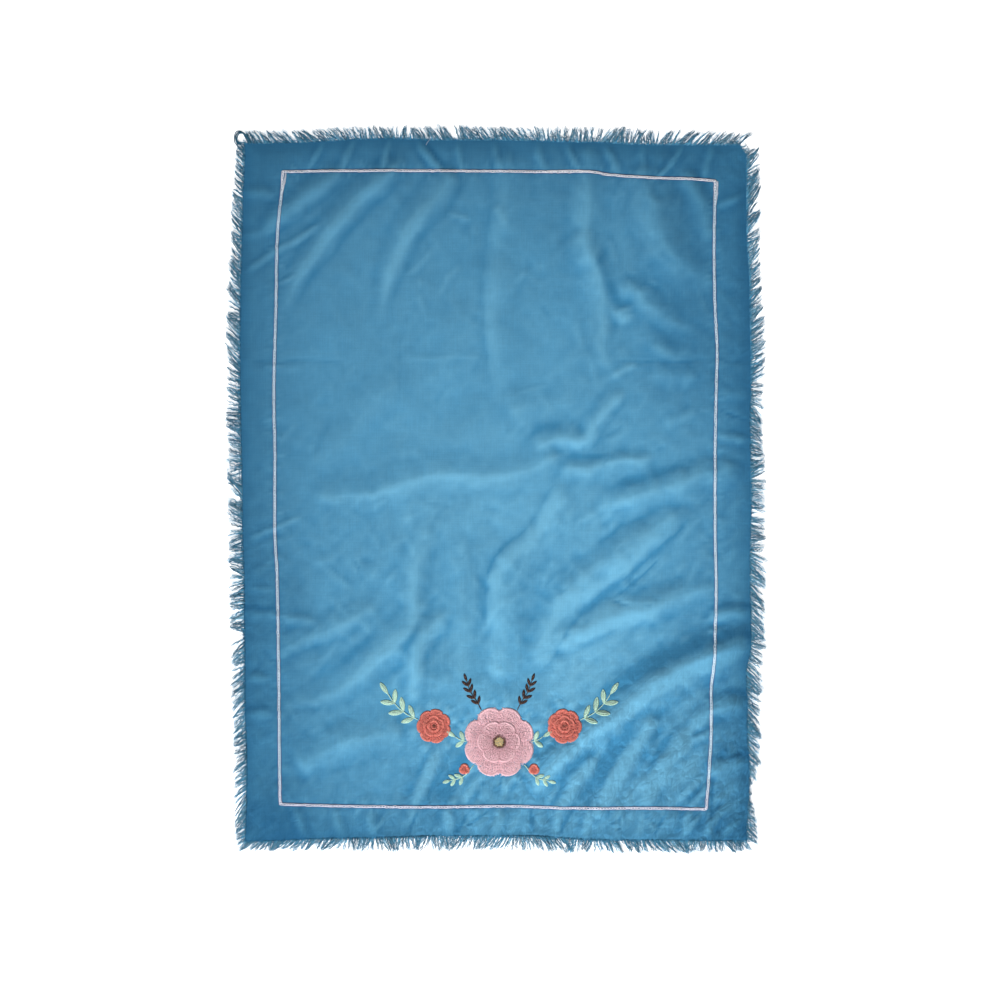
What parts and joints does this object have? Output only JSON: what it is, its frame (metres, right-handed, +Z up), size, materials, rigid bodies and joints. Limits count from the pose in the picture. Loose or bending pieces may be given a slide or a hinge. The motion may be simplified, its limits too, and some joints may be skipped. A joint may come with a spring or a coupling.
{
  "type": "tea towel",
  "caption": "Plain-woven cotton tea towel with frayed fringe on all sides, a stitched border line and an embroidered flower spray, lying flat in soft folds.",
  "frame": {"origin": "middle of the towel's outline, fringe included, on the surface it lies on", "axes": "+Z up out of the cloth's face, +Y towards its top edge, away from the flower spray, +X to the right seen from above"},
  "size_m": [0.5122, 0.6902, 0.0092],
  "materials": {
    "cloth": "matt plain-woven cotton, washed",
    "fringe": "frayed cotton yarns"
  },
  "bodies": {
    "root": {"cloth": "cloth", "fringe_top": "fringe", "fringe_bottom": "fringe", "fringe_left": "fringe", "fringe_right": "fringe"}
  },
  "joints": []
}
